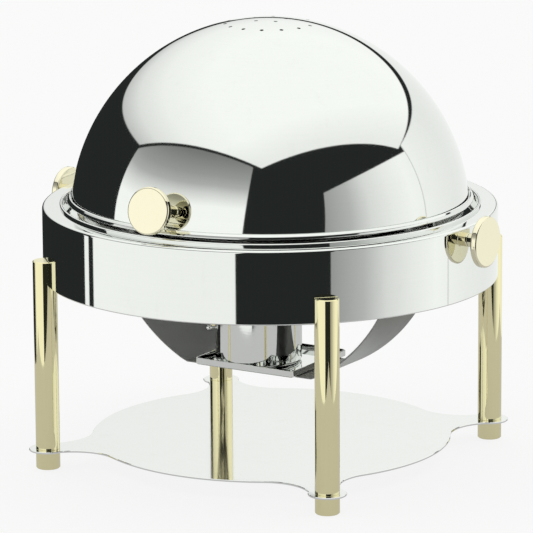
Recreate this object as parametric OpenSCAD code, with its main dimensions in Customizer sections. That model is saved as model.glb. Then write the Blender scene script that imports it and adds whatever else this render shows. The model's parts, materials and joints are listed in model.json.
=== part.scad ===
// Roll top chafer: a round body ring on four legs over a base plate. A domed cover
// turns back about two side pivots, round a pan carrier that holds nested pans and,
// on a cradle of two straps, a burner shelf.
// Millimetres, +Z up, table at Z = 0, front handle towards -Y, pivots on the X axis.

/* [Body ring] */
// Outside radius of the ring
ring_radius = 235; // [180:1:300]
// Height of the ring's flat top face above the table
ring_top = 267; // [220:1:330]
// Height of the ring's wall
ring_height = 75; // [50:1:110]
// Radius of the opening that the cover turns in
opening_radius = 214; // [170:1:280]
// Sheet thickness of the ring
ring_sheet = 1.2; // [0.8:0.1:3]
// Radius of the rounded outer top edge
ring_edge = 3; // [1.5:0.5:8]
// Depth of the lip turned down round the opening
lip_depth = 5.5; // [2:0.5:6]
// Width of the hem turned in along the bottom of the wall
hem_width = 6; // [3:0.5:15]
// Width and height of the bead round the opening
trim_width = 3; // [2:0.5:5]

/* [Cover] */
// Height of the turning axis above the table
axis_height = 252.5; // [210:0.5:310]
// Outside radius of the dome
cover_radius = 206; // [160:1:270]
// Sheet thickness of the dome
cover_sheet = 1.2; // [0.8:0.1:3]
// Height of the dome's lower edge above the turning axis
rim_rise = 20; // [14:1:35]
// Height of the sloping rim round the dome's lower edge
rim_height = 5; // [3:0.5:8]
// Thickness of the rim at its foot
rim_thickness = 3.5; // [2:0.5:4]
// Number of steam holes in the outer circle
outer_vents = 14; // [6:1:24]
// Radius of the outer circle of steam holes
outer_vent_circle = 45; // [30:1:70]
// Number of steam holes in the inner circle
inner_vents = 5; // [3:1:8]
// Radius of the inner circle of steam holes
inner_vent_circle = 17.5; // [10:0.5:25]
// Radius of one steam hole
vent_radius = 2; // [1:0.1:3]

/* [Knobs] */
// Radius of the side knobs' discs
knob_radius = 26; // [18:1:34]
// Radius of the front handle's disc
handle_radius = 23.8; // [18:0.2:26]
// Thickness of the discs
knob_thickness = 7.5; // [5:0.5:14]
// Radius of the knob necks
neck_radius = 7; // [5.5:0.5:12]
// Length of a side knob's neck
side_neck = 13.5; // [11:0.5:20]
// Length of the front handle's neck
handle_neck = 21.8; // [14:0.2:24]
// Angle of the front handle above the level of the turning axis
handle_angle = 11.6; // [11:0.1:20]

/* [Legs and base] */
// Radius of the legs and feet
leg_radius = 12.4; // [8:0.1:18]
// Distance of the leg axes from the centre
leg_circle = 237; // [182:1:300]
// Height of the leg tops above the table
leg_top = 219; // [200:1:260]
// Height of the base plate's top face
plate_top = 20.8; // [12:0.1:40]
// Thickness of the base plate
plate_thickness = 2; // [1:0.1:5]
// Radius of the base plate's round middle
plate_radius = 187; // [140:1:240]
// Half width of a tab's neck on the base plate
tab_half_width = 17; // [14:0.5:25]
// Radius of a tab's round tip
tab_tip_radius = 19.5; // [15:0.5:28]
// Radius of the hollow curve between the round middle and a tab
tab_fillet = 48; // [20:1:80]

/* [Pans] */
// Outside radius of the water pan's wall
water_radius = 159; // [120:1:200]
// Height of the water pan's underside above the table
water_bottom = 190; // [170:1:220]
// Outside radius of the food pan's wall
food_radius = 154; // [115:1:195]
// Outside radius of the food pan's rim
food_rim = 168; // [125:1:205]
// Height of the food pan's underside above the table
food_bottom = 205; // [185:1:235]
// Sheet thickness of both pans
pan_sheet = 1.2; // [0.8:0.1:2]

/* [Cradle and burner] */
// Inner radius of the curve of the cradle straps
cradle_radius = 177.5; // [168:0.5:184]
// Thickness of the straps
strap_thickness = 1.5; // [1:0.1:3]
// Width of the straps
strap_width = 90; // [40:1:120]
// Height of the burner shelf's underside above the table
shelf_bottom = 99; // [60:1:140]
// Length of the burner shelf, left to right
shelf_length = 118; // [90:1:120]
// Width of the burner shelf, front to back
shelf_width = 110; // [90:1:140]
// Height of the shelf, with its lips
shelf_height = 7; // [4:0.5:20]
// Outside radius of the fuel holder
holder_radius = 45; // [30:1:48]
// Height of the fuel holder
holder_height = 58.5; // [40:0.5:62]
// Place of the fuel holder's axis on the shelf, left to right
holder_x = -10; // [-12:1:12]
// Place of the fuel holder's axis on the shelf, front to back
holder_y = -8; // [-8:1:8]

/* [Hidden] */
$fn = 96;

// Clearance left between two fixed pieces that touch on a curve
fit_gap = 0.05;
// Clearance between neighbours that turn past each other
run_gap = 0.3;

ring_bottom = ring_top - ring_height;
ring_inside = ring_radius - ring_sheet;
plate_bottom = plate_top - plate_thickness;
leg_angles = [-135, -45, 135, 45];
edge_chamfer = 1;
leg_stud_radius = 4;
leg_stud_reach = 12;
leg_stud_rise = 36;
ring_screw_radius = 2;
ring_screw_head = 3.6;
ring_screw_height = ring_bottom + 14;
ring_screw_end = leg_circle + 6;

stud_radius = 5;
stud_thread = 4;
lug_radius = 11.5;
lug_half_width = 12;
lug_face = cover_radius - 6;
lug_back = lug_face - 6;
nut_width = 13;
nut_height = 4;
stud_start = lug_back - nut_height - 2;
knob_start = ring_radius + 0.1;
knob_bore_depth = 11;
spacer_radius = 8;
washer_radius = 9;
washer_thickness = 0.9;

ear_outer = cover_radius - cover_sheet - fit_gap;
ear_inner = ear_outer - 2.15;
ear_tip = 14;
ear_half_width = 22;
ear_top = 55;
ear_stud_places = [[-3.6, 13.5], [3.6, 13.5], [0, 9]];
ear_stud_radius = 1.5;
ear_stud_head = 3.5;
bush_radius = 8;
bush_flange = 11;
bush_start = lug_face + washer_thickness + run_gap;
bush_shoulder = ear_outer + fit_gap;
bush_end = bush_shoulder + 1.4;

handle_start = cover_radius + fit_gap;
handle_screw_radius = 3;
handle_screw_head = 5.5;
handle_screw_end = handle_start + 13;

carrier_sheet = 1.5;
carrier_top = 261;
carrier_inner = water_radius + 1.5;
carrier_outer = cover_radius - 7;
skirt_depth = 11;
foot_length = 16;
rivet_radius = 2;
rivet_head = 3.6;
rivet_head_height = 1.6;
strap_top = carrier_top - carrier_sheet;
carrier_rivet_x = cradle_radius - 8;
rivet_y = 30;
tab_start = 35;
shelf_rivet_x = 45;

pan_gap = 0.1;
water_seat = carrier_top + pan_gap;
water_rim = carrier_outer;
water_corner = 18;
drip_lip = 4;
food_corner = 14;
food_sheet = 1;
food_seat = water_seat + pan_sheet + pan_gap;
rim_curl = 1.2;

holder_bottom = shelf_bottom + ring_sheet + 0.1;
holder_top = holder_bottom + holder_height;
holder_sheet = 1.2;
holder_corner = 4;
holder_curl = 1.4;
pin_offset = 50;
pin_radius = 2;
boss_radius = 4.5;
boss_height = 12;
lid_radius = 43;
lid_sheet = 1.2;
lid_bottom = holder_top + holder_curl + 0.2;
lid_lug = 6;
grip_angle = 212;
grip_height = 34.5;

steel = [0.82, 0.83, 0.82];
brass = [0.86, 0.78, 0.5];
dark_steel = [0.55, 0.56, 0.56];

// Children at a leg's place, given its angle
module at_leg(angle) {
  rotate([0, 0, angle]) translate([leg_circle, 0, 0]) children();
}

// Children drawn on the +X side, mirrored to the left when side is -1
module on_side(side) {
  if (side < 0) mirror([1, 0, 0]) children();
  else children();
}

// Children drawn up +Z, laid along the turning axis from the centre to +X
module along_axis() {
  translate([0, 0, axis_height]) rotate([0, 90, 0]) children();
}

// Children drawn up +Z, laid along the front handle's axis from the dome's centre
module along_handle() {
  translate([0, 0, axis_height]) rotate([90 - handle_angle, 0, 0]) children();
}

// Plain tube standing on the XY plane
module tube(outer, inner, height) {
  linear_extrude(height) difference() {
    circle(r = outer);
    circle(r = inner);
  }
}

// Base plate: a flat sheet, round with four round-ended tabs
module base_plate() {
  color(steel)
  translate([0, 0, plate_bottom]) linear_extrude(plate_thickness) difference() {
    union() {
      circle(r = plate_radius);
      for (angle = leg_angles) rotate(angle) {
        plate_tab_half();
        mirror([0, 1]) plate_tab_half();
        translate([leg_circle, 0]) circle(r = tab_tip_radius);
      }
    }
    for (angle = leg_angles)
      rotate(angle) translate([leg_circle, 0]) circle(r = leg_stud_radius + fit_gap);
  }
}

// Half a tab, with the hollow curve that runs out of the round middle
module plate_tab_half() {
  side = tab_half_width + tab_fillet;
  along = sqrt(pow(plate_radius + tab_fillet, 2) - pow(side, 2));
  difference() {
    polygon([[0, 0], [leg_circle, 0], [leg_circle, tab_half_width], [along, tab_half_width],
             [along, side]]);
    translate([along, side]) circle(r = tab_fillet);
  }
}

// Foot: a short length of leg bar under the plate, tapped from above
module foot(angle) {
  color(brass)
  at_leg(angle) difference() {
    union() {
      cylinder(r1 = leg_radius - edge_chamfer, r2 = leg_radius, h = edge_chamfer);
      translate([0, 0, edge_chamfer])
        cylinder(r = leg_radius, h = plate_bottom - edge_chamfer);
    }
    translate([0, 0, plate_bottom - leg_stud_reach])
      cylinder(r = leg_stud_radius + fit_gap, h = leg_stud_reach + 1);
  }
}

// Leg: a round bar, cut away above the ring's hem so that the ring stands on it
module leg(angle) {
  color(brass)
  difference() {
    at_leg(angle) {
      translate([0, 0, plate_top])
        cylinder(r = leg_radius, h = leg_top - edge_chamfer - plate_top);
      translate([0, 0, leg_top - edge_chamfer])
        cylinder(r1 = leg_radius, r2 = leg_radius - edge_chamfer, h = edge_chamfer);
    }
    translate([0, 0, ring_bottom]) cylinder(r = ring_radius + fit_gap, h = ring_height);
    at_leg(angle) translate([0, 0, plate_top - 1])
      cylinder(r = leg_stud_radius + fit_gap, h = leg_stud_rise + 1);
    ring_screw_at(angle, ring_screw_radius + fit_gap, ring_inside, ring_screw_end + 0.5);
  }
}

// Threaded rods through the plate that join each foot to its leg
module leg_studs() {
  color(dark_steel)
  for (angle = leg_angles) at_leg(angle)
    translate([0, 0, plate_bottom - leg_stud_reach + 0.5])
      cylinder(r = leg_stud_radius, h = leg_stud_reach + plate_thickness + leg_stud_rise - 1);
}

// Radial cylinder on the line of a ring screw
module ring_screw_at(angle, radius, start, end) {
  rotate([0, 0, angle]) translate([start, 0, ring_screw_height]) rotate([0, 90, 0])
    cylinder(r = radius, h = end - start);
}

// Screws from inside the ring's wall into the legs
module ring_screws() {
  color(dark_steel)
  for (angle = leg_angles) {
    ring_screw_at(angle, ring_screw_head, ring_inside - 3, ring_inside - 0.1);
    ring_screw_at(angle, ring_screw_radius, ring_inside - 0.2, ring_screw_end);
  }
}

// Body ring: the wall, with a hem turned in along its foot
module body_ring() {
  color(steel)
  difference() {
    rotate_extrude() {
      translate([ring_inside, ring_bottom]) square([ring_sheet, ring_height - ring_edge]);
      translate([ring_radius - hem_width, ring_bottom]) square([hem_width, ring_sheet]);
    }
    for (side = [-1, 1]) on_side(side) along_axis()
      cylinder(r = stud_radius + fit_gap, h = ring_radius + 1);
    for (angle = leg_angles)
      ring_screw_at(angle, ring_screw_radius + fit_gap, ring_inside - 1, ring_radius + 1);
  }
}

// Top sheet: flat, with a rounded outer edge and a lip turned down round the opening
module top_sheet() {
  color(steel)
  rotate_extrude() {
    translate([opening_radius, ring_top - ring_sheet])
      square([ring_radius - ring_edge - opening_radius, ring_sheet]);
    translate([ring_radius - ring_edge, ring_top - ring_edge]) intersection() {
      difference() {
        circle(r = ring_edge);
        circle(r = ring_edge - ring_sheet);
      }
      square([ring_edge, ring_edge]);
    }
    translate([opening_radius, ring_top - lip_depth]) square([ring_sheet, lip_depth]);
  }
}

// Bead on the ring's top, round the opening, with chamfered edges
module opening_trim() {
  chamfer = 0.9;
  shoulder = trim_width - chamfer;
  color(steel)
  rotate_extrude() translate([opening_radius, ring_top])
    polygon([[0, 0], [trim_width, 0], [trim_width, shoulder], [shoulder, trim_width],
             [chamfer, trim_width], [0, shoulder]]);
}

// Pivot stud: journal through the ring, threaded inner end through the carrier's lug
module pivot_stud(side) {
  color(dark_steel)
  on_side(side) along_axis() {
    translate([0, 0, lug_face]) cylinder(r = stud_radius, h = knob_start + 9 - lug_face);
    translate([0, 0, stud_start]) cylinder(r = stud_thread, h = lug_face - stud_start);
  }
}

// Disc knob on a short neck, drawn up +Z from its neck's end
module knob(radius, neck, bore, bore_depth) {
  edge = 2;
  difference() {
    rotate_extrude() {
      square([neck_radius, neck + edge]);
      translate([0, neck]) square([radius - edge, knob_thickness]);
      translate([0, neck + edge]) square([radius, knob_thickness - 2 * edge]);
      for (level = [edge, knob_thickness - edge])
        translate([radius - edge, neck + level]) circle(r = edge);
    }
    translate([0, 0, -1]) cylinder(r = bore, h = bore_depth + 1);
  }
}

// Side knob screwed on the outer end of a pivot stud
module pivot_knob(side) {
  color(brass)
  on_side(side) along_axis() translate([0, 0, knob_start])
    knob(knob_radius, side_neck, stud_radius + fit_gap, knob_bore_depth);
}

// Tube on the stud between the ring's wall and the cover's bush
module pivot_spacer(side) {
  start = bush_end + run_gap;
  color(dark_steel)
  on_side(side) along_axis() translate([0, 0, start])
    tube(spacer_radius, stud_radius + fit_gap, ring_inside - 0.4 - start);
}

// Thrust washer between the carrier's lug and the cover's bush
module pivot_washer(side) {
  color(brass)
  on_side(side) along_axis() translate([0, 0, lug_face + fit_gap])
    tube(washer_radius, stud_radius + fit_gap, washer_thickness);
}

// Six-sided nut on the stud's inner end
module pivot_nut(side) {
  color(dark_steel)
  on_side(side) along_axis() translate([0, 0, lug_back - nut_height])
    linear_extrude(nut_height) difference() {
      intersection() {
        square([nut_width, 3 * nut_width], center = true);
        rotate(60) square([nut_width, 3 * nut_width], center = true);
        rotate(120) square([nut_width, 3 * nut_width], center = true);
      }
      circle(r = stud_thread + fit_gap);
    }
}

// Pan carrier: flat ring with a turned-down skirt and a lug at each pivot
module pan_carrier() {
  color(steel)
  difference() {
    union() {
      translate([0, 0, carrier_top - carrier_sheet])
        tube(carrier_outer, carrier_inner, carrier_sheet);
      translate([0, 0, carrier_top - skirt_depth])
        tube(carrier_outer, carrier_outer - carrier_sheet, skirt_depth);
      for (side = [-1, 1]) on_side(side)
        translate([lug_back, 0, axis_height]) rotate([90, 0, 90])
          linear_extrude(lug_face - lug_back) {
            intersection() {
              circle(r = lug_radius);
              translate([-lug_radius, -lug_radius]) square([2 * lug_radius, lug_radius]);
            }
            translate([-lug_half_width, 0])
              square([2 * lug_half_width, carrier_top - axis_height]);
          }
    }
    for (side = [-1, 1]) on_side(side) {
      along_axis() translate([0, 0, lug_back - 1])
        cylinder(r = stud_thread + fit_gap, h = lug_face - lug_back + 2);
      for (y = [-rivet_y, rivet_y]) translate([carrier_rivet_x, y, carrier_top - 5])
        cylinder(r = rivet_radius + fit_gap, h = 6);
    }
  }
}

// Cradle strap: foot under the carrier, curved side, tab under the burner shelf
module cradle(side) {
  outer = cradle_radius + strap_thickness;
  tab_level = shelf_bottom - strap_top;
  tab_end = sqrt(pow(outer, 2) - pow(tab_level - strap_thickness, 2));
  color(steel)
  on_side(side) difference() {
    translate([0, strap_width / 2, strap_top]) rotate([90, 0, 0])
      linear_extrude(strap_width) {
        intersection() {
          difference() {
            circle(r = outer);
            circle(r = cradle_radius);
          }
          translate([0, tab_level - strap_thickness])
            square([outer, strap_thickness - tab_level]);
        }
        translate([outer - foot_length, -strap_thickness])
          square([foot_length, strap_thickness]);
        translate([tab_start, tab_level - strap_thickness])
          square([tab_end - tab_start, strap_thickness]);
      }
    for (y = [-rivet_y, rivet_y]) {
      translate([carrier_rivet_x, y, carrier_top - 5])
        cylinder(r = rivet_radius + fit_gap, h = 6);
      translate([shelf_rivet_x, y, shelf_bottom - 4])
        cylinder(r = rivet_radius + fit_gap, h = 6);
    }
  }
}

// Round-headed rivet drawn up +Z, its head below
module rivet(grip) {
  translate([0, 0, -rivet_head_height]) cylinder(r = rivet_head, h = rivet_head_height);
  cylinder(r = rivet_radius, h = grip);
}

// Rivets that hold the straps' feet to the carrier, flush on top
module carrier_rivets() {
  color(dark_steel)
  for (x = [-carrier_rivet_x, carrier_rivet_x], y = [-rivet_y, rivet_y])
    translate([x, y, strap_top - strap_thickness])
      rivet(carrier_sheet + strap_thickness);
}

// Rivets that hold the shelf to the straps' tabs, flush on top
module shelf_rivets() {
  color(dark_steel)
  for (x = [-shelf_rivet_x, shelf_rivet_x], y = [-rivet_y, rivet_y])
    translate([x, y, shelf_bottom - strap_thickness]) rivet(strap_thickness + ring_sheet);
}

// Rectangle with round corners about the origin
module round_rectangle(length, width, corner) {
  square([length - 2 * corner, width], center = true);
  square([length, width - 2 * corner], center = true);
  for (x = [-1, 1], y = [-1, 1])
    translate([x * (length / 2 - corner), y * (width / 2 - corner)]) circle(r = corner);
}

// Burner shelf: a shallow tray
module burner_shelf() {
  corner = 4;
  color(steel)
  translate([0, 0, shelf_bottom]) difference() {
    linear_extrude(shelf_height) round_rectangle(shelf_length, shelf_width, corner);
    translate([0, 0, ring_sheet]) linear_extrude(shelf_height)
      round_rectangle(shelf_length - 2 * ring_sheet, shelf_width - 2 * ring_sheet,
                      corner - ring_sheet);
    for (x = [-shelf_rivet_x, shelf_rivet_x], y = [-rivet_y, rivet_y])
      translate([x, y, -1]) cylinder(r = rivet_radius + fit_gap, h = 4);
  }
}

// Half section of a round pan's body, its underside on the X axis
module pan_section(radius, height, corner, sheet) {
  difference() {
    pan_outline(radius, height, corner);
    translate([0, sheet]) pan_outline(radius - sheet, height, corner - sheet);
  }
}

// Filled half section with a round lower corner
module pan_outline(radius, height, corner) {
  square([radius - corner, height]);
  translate([0, corner]) square([radius, height - corner]);
  translate([radius - corner, corner]) circle(r = corner);
}

// Water pan: hangs in the carrier by its wide flange, with a lip that catches drips
module water_pan() {
  color(steel)
  rotate_extrude() {
    translate([0, water_bottom])
      pan_section(water_radius, water_seat + pan_sheet - water_bottom, water_corner, pan_sheet);
    translate([water_radius - pan_sheet, water_seat])
      square([water_rim - water_radius + pan_sheet, pan_sheet]);
    translate([water_rim - pan_sheet, water_seat]) square([pan_sheet, pan_sheet + drip_lip]);
  }
}

// Food pan: lifts out of the water pan by its curled rim
module food_pan() {
  color(steel)
  rotate_extrude() {
    translate([0, food_bottom])
      pan_section(food_radius, food_seat + food_sheet - food_bottom, food_corner, food_sheet);
    translate([food_radius - food_sheet, food_seat])
      square([food_rim - rim_curl - food_radius + food_sheet, food_sheet]);
    translate([food_rim - 2 * rim_curl, food_seat])
      polygon([[0, 0], [2 * rim_curl, 0], [2 * rim_curl, rim_curl], [rim_curl, 2 * rim_curl],
               [0, 2 * rim_curl]]);
  }
}

// Dome: a spherical sheet with steam holes near the top
module cover_dome() {
  color(steel)
  difference() {
    translate([0, 0, axis_height]) sphere(r = cover_radius);
    translate([0, 0, axis_height]) sphere(r = cover_radius - cover_sheet);
    translate([0, 0, axis_height + rim_rise - 2 * cover_radius])
      cylinder(r = cover_radius + 5, h = 2 * cover_radius);
    vent_circle(outer_vents, outer_vent_circle, 9);
    vent_circle(inner_vents, inner_vent_circle, -36.4);
    along_handle() cylinder(r = handle_screw_radius + 3 * fit_gap, h = cover_radius + 5);
  }
}

// Steam holes spaced round a circle
module vent_circle(count, circle_radius, first) {
  for (i = [0 : count - 1])
    rotate([0, 0, first + i * 360 / count]) translate([circle_radius, 0, axis_height])
      cylinder(r = vent_radius, h = cover_radius + 5);
}

// Rim round the dome's lower edge: upright at its foot, sloping in above, with a groove
// left between it and the dome
module cover_rim() {
  foot = 0.8;
  seat = sqrt(pow(cover_radius, 2) - pow(rim_rise, 2)) + fit_gap;
  outer = cover_radius + rim_thickness;
  color(steel)
  rotate_extrude() translate([0, axis_height + rim_rise])
    polygon([[seat, 0], [outer, 0], [outer, foot], [cover_radius + foot, rim_height],
             [cover_radius, rim_height], [cover_radius, foot], [seat, foot]]);
}

// Places on an ear, given as an angle round and an angle up from the turning axis
module at_ear_stud(place) {
  translate([0, 0, axis_height]) rotate([0, 90 - place[1], place[0]]) children();
}

// Hinge ear: a strip inside the dome that reaches down to the pivot
module cover_ear(side) {
  color(steel)
  on_side(side) difference() {
    intersection() {
      translate([0, 0, axis_height]) difference() {
        sphere(r = ear_outer);
        sphere(r = ear_inner);
      }
      translate([0, 0, axis_height]) rotate([90, 0, 90]) linear_extrude(cover_radius) {
        circle(r = ear_tip);
        polygon([[-ear_tip, 0], [ear_tip, 0], [ear_half_width, ear_top],
                 [-ear_half_width, ear_top]]);
      }
    }
    along_axis() cylinder(r = bush_radius + fit_gap, h = cover_radius);
    for (place = ear_stud_places) at_ear_stud(place)
      cylinder(r = ear_stud_radius + fit_gap, h = cover_radius);
  }
}

// Studs on the dome's inside, with round heads, that hold the ears
module ear_studs() {
  color(dark_steel)
  for (side = [-1, 1]) on_side(side)
    for (place = ear_stud_places) at_ear_stud(place) {
      translate([0, 0, ear_inner - 1.4]) cylinder(r = ear_stud_head, h = 1.35);
      translate([0, 0, ear_inner - 0.5])
        cylinder(r = ear_stud_radius, h = ear_outer - ear_inner + 0.45);
    }
}

// Flanged bush in an ear, running on the pivot stud
module ear_bush(side) {
  color(brass)
  on_side(side) along_axis() {
    translate([0, 0, bush_start])
      tube(bush_radius, stud_radius + fit_gap, bush_shoulder - bush_start);
    translate([0, 0, bush_shoulder])
      tube(bush_flange, stud_radius + fit_gap, bush_end - bush_shoulder);
  }
}

// Front handle
module handle_knob() {
  color(brass)
  along_handle() translate([0, 0, handle_start])
    knob(handle_radius, handle_neck, handle_screw_radius + fit_gap,
         handle_screw_end - handle_start + 1);
}

// Screw from inside the dome into the handle
module handle_screw() {
  head_top = cover_radius - cover_sheet - 4 * fit_gap;
  color(dark_steel)
  along_handle() {
    translate([0, 0, head_top - 1.8]) cylinder(r = handle_screw_head, h = 1.8);
    translate([0, 0, head_top - 1])
      cylinder(r = handle_screw_radius, h = handle_screw_end - head_top + 1);
  }
}

// Children at the fuel holder's axis
module at_holder() {
  translate([holder_x, holder_y, 0]) children();
}

// Fuel holder: a cup with a curled rim and a boss for the lid's pin
module fuel_holder() {
  color(steel)
  at_holder() difference() {
    union() {
      rotate_extrude() {
        translate([0, holder_bottom])
          pan_section(holder_radius, holder_height, holder_corner, holder_sheet);
        translate([holder_radius - holder_curl, holder_top]) circle(r = holder_curl);
      }
      translate([0, pin_offset, holder_top - boss_height])
        cylinder(r = boss_radius, h = boss_height);
      translate([-2, holder_radius - holder_sheet / 2, holder_top - boss_height])
        cube([4, pin_offset - holder_radius - 2, boss_height]);
    }
    translate([0, pin_offset, holder_top - boss_height - 1])
      cylinder(r = pin_radius + fit_gap, h = boss_height + 5);
    rotate([0, 0, grip_angle]) translate([holder_radius - 3, 0, holder_bottom + grip_height])
      rotate([0, 90, 0]) cylinder(r = pin_radius + fit_gap, h = 5);
  }
}

// Small ball on a stem, to draw the fuel holder out by
module holder_grip() {
  color(steel)
  at_holder() rotate([0, 0, grip_angle])
    translate([holder_radius - holder_sheet, 0, holder_bottom + grip_height]) {
      rotate([0, 90, 0]) cylinder(r = pin_radius, h = 7);
      translate([7.5, 0, 0]) sphere(r = 3.5);
    }
}

// Pin the lid swings on
module lid_pin() {
  color(dark_steel)
  at_holder() translate([0, pin_offset, holder_top - boss_height]) {
    cylinder(r = pin_radius, h = lid_bottom + lid_sheet + 1 - holder_top + boss_height);
    translate([0, 0, lid_bottom + lid_sheet + 0.2 - holder_top + boss_height])
      cylinder(r = 3.5, h = 1.6);
  }
}

// Lid that swings aside over the fuel holder
module holder_lid() {
  color(steel)
  at_holder() translate([0, 0, lid_bottom]) linear_extrude(lid_sheet) difference() {
    union() {
      circle(r = lid_radius);
      translate([-lid_lug, 0]) square([2 * lid_lug, pin_offset]);
      translate([0, pin_offset]) circle(r = lid_lug);
    }
    translate([0, pin_offset]) circle(r = pin_radius + fit_gap);
    translate([0, -lid_radius + 10]) circle(r = pin_radius + fit_gap);
  }
}

// Small button riveted on the lid, to turn it by
module lid_grip() {
  color(brass)
  at_holder() translate([0, -lid_radius + 10, lid_bottom]) {
    cylinder(r = pin_radius, h = lid_sheet + 1);
    translate([0, 0, lid_sheet + fit_gap]) cylinder(r = 5, h = 7);
  }
}

base_plate();
foot(leg_angles[0]);  // foot_front_left
foot(leg_angles[1]);  // foot_front_right
foot(leg_angles[2]);  // foot_back_left
foot(leg_angles[3]);  // foot_back_right
leg(leg_angles[0]);  // leg_front_left
leg(leg_angles[1]);  // leg_front_right
leg(leg_angles[2]);  // leg_back_left
leg(leg_angles[3]);  // leg_back_right
leg_studs();
body_ring();
top_sheet();
opening_trim();
ring_screws();
pivot_stud(-1);  // pivot_stud_left
pivot_stud(1);  // pivot_stud_right
pivot_knob(-1);  // pivot_knob_left
pivot_knob(1);  // pivot_knob_right
pivot_spacer(-1);  // pivot_spacer_left
pivot_spacer(1);  // pivot_spacer_right
pivot_washer(-1);  // pivot_washer_left
pivot_washer(1);  // pivot_washer_right
pivot_nut(-1);  // pivot_nut_left
pivot_nut(1);  // pivot_nut_right
pan_carrier();
cradle(-1);  // cradle_left
cradle(1);  // cradle_right
carrier_rivets();
shelf_rivets();
burner_shelf();
water_pan();
cover_dome();
cover_rim();
cover_ear(-1);  // cover_ear_left
cover_ear(1);  // cover_ear_right
ear_studs();
ear_bush(-1);  // ear_bush_left
ear_bush(1);  // ear_bush_right
handle_knob();
handle_screw();
food_pan();
fuel_holder();
holder_grip();
lid_pin();
holder_lid();
lid_grip();
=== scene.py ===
import json
import math

import bpy
import numpy as np
from mathutils import Matrix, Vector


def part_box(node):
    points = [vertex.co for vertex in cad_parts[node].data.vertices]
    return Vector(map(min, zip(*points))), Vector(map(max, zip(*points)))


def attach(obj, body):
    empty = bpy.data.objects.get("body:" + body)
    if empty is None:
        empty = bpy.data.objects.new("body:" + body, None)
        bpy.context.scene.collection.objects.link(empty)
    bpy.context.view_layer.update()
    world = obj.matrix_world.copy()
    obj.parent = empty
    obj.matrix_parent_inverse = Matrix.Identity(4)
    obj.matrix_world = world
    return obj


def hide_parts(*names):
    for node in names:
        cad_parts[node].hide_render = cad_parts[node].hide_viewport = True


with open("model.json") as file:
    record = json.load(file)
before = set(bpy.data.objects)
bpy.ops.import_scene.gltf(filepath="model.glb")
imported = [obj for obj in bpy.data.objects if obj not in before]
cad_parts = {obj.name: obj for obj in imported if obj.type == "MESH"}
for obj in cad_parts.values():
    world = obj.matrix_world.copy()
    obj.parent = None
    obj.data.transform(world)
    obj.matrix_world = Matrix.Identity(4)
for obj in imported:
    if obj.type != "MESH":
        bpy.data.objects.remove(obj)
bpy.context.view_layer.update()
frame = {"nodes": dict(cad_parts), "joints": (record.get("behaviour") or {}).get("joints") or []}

# The view. A long lens stands a little above the ring, to the right of the front handle,
# and looks at the middle of the unit.
view_azimuth = math.radians(31.643)
view_elevation = math.radians(12.742)
view_roll = math.radians(-0.338)
view_distance = 4.2522
view_aim = (0.0, 0.0, 0.19865)
view_shift_right = -0.00418
lens_mm = 277.55
sensor_mm = 36.0


def view_axes(azimuth, elevation, roll):
    """Right, up and back of a camera: back leans up by the elevation and turns from -Y by the azimuth, up is
    back crossed with the level right, and both are then turned about back by the roll."""
    right = np.array([math.cos(azimuth), math.sin(azimuth), 0.0])
    level = math.cos(elevation)
    back = np.array([math.sin(azimuth) * level, -math.cos(azimuth) * level, math.sin(elevation)])
    up = np.cross(back, right)
    rolled_right = right * math.cos(roll) + up * math.sin(roll)
    rolled_up = up * math.cos(roll) - right * math.sin(roll)
    return right, rolled_right, rolled_up, back


level_right, camera_right, camera_up, camera_back = view_axes(view_azimuth, view_elevation, view_roll)
camera_place = np.array(view_aim) + level_right * view_shift_right + camera_back * view_distance
camera_data = bpy.data.cameras.new("camera")
camera_data.lens = lens_mm
camera_data.sensor_width = sensor_mm
camera_data.clip_start = 0.1
camera_data.clip_end = 60.0
camera = bpy.data.objects.new("camera", camera_data)
camera_matrix = np.eye(4)
camera_matrix[:3, :3] = np.stack([camera_right, camera_up, camera_back], axis=1)
camera_matrix[:3, 3] = camera_place
camera.matrix_world = Matrix(camera_matrix.tolist())
bpy.context.scene.collection.objects.link(camera)
bpy.context.scene.camera = camera

# The studio. Polished metal shows nothing but its surroundings, so the light is a room of soft
# panels: a sloping panel on the left, a white wall on the right and behind, dark gaps between
# them, and a large four-sided panel overhead. Eyes see a plain pale backdrop.
edge_blur = 0.006
side_blur = 0.35
gap_dark = (0.0190, 0.0220, 0.0205)
backdrop_pale = (0.955, 0.955, 0.955)

world = bpy.data.worlds.new("studio")
bpy.context.scene.world = world
world.use_nodes = True
room = world.node_tree
room.nodes.clear()


def calc(tree, kind, *values):
    """One Math node of the given kind; each value is a number or another node's output."""
    node = tree.nodes.new("ShaderNodeMath")
    node.operation = kind
    for socket, value in zip(node.inputs, values):
        if isinstance(value, bpy.types.NodeSocket):
            tree.links.new(value, socket)
        else:
            socket.default_value = value
    return node.outputs[0]


def ramp(tree, value, low, high, start=0.0, end=1.0, smooth=True):
    """Start below low, end above high, and an even or a soft change between them."""
    node = tree.nodes.new("ShaderNodeMapRange")
    node.interpolation_type = "SMOOTHSTEP" if smooth else "LINEAR"
    node.inputs["From Min"].default_value = low
    node.inputs["From Max"].default_value = high
    node.inputs["To Min"].default_value = start
    node.inputs["To Max"].default_value = end
    tree.links.new(value, node.inputs["Value"])
    return node.outputs["Result"]


def between(tree, value, low, high, blur):
    """1 inside low to high and 0 outside, with edges blurred by the given width."""
    rise = ramp(tree, value, low - blur, low + blur)
    fall = ramp(tree, value, high - blur, high + blur, 1.0, 0.0)
    return calc(tree, "MULTIPLY", rise, fall)


def along(tree, vector, direction):
    """Dot product of a vector output with a fixed direction."""
    node = tree.nodes.new("ShaderNodeVectorMath")
    node.operation = "DOT_PRODUCT"
    tree.links.new(vector, node.inputs[0])
    node.inputs[1].default_value = tuple(float(v) for v in direction)
    return node.outputs["Value"]


def degrees(tree, value):
    """Radians to degrees."""
    return calc(tree, "MULTIPLY", value, 180.0 / math.pi)


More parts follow.
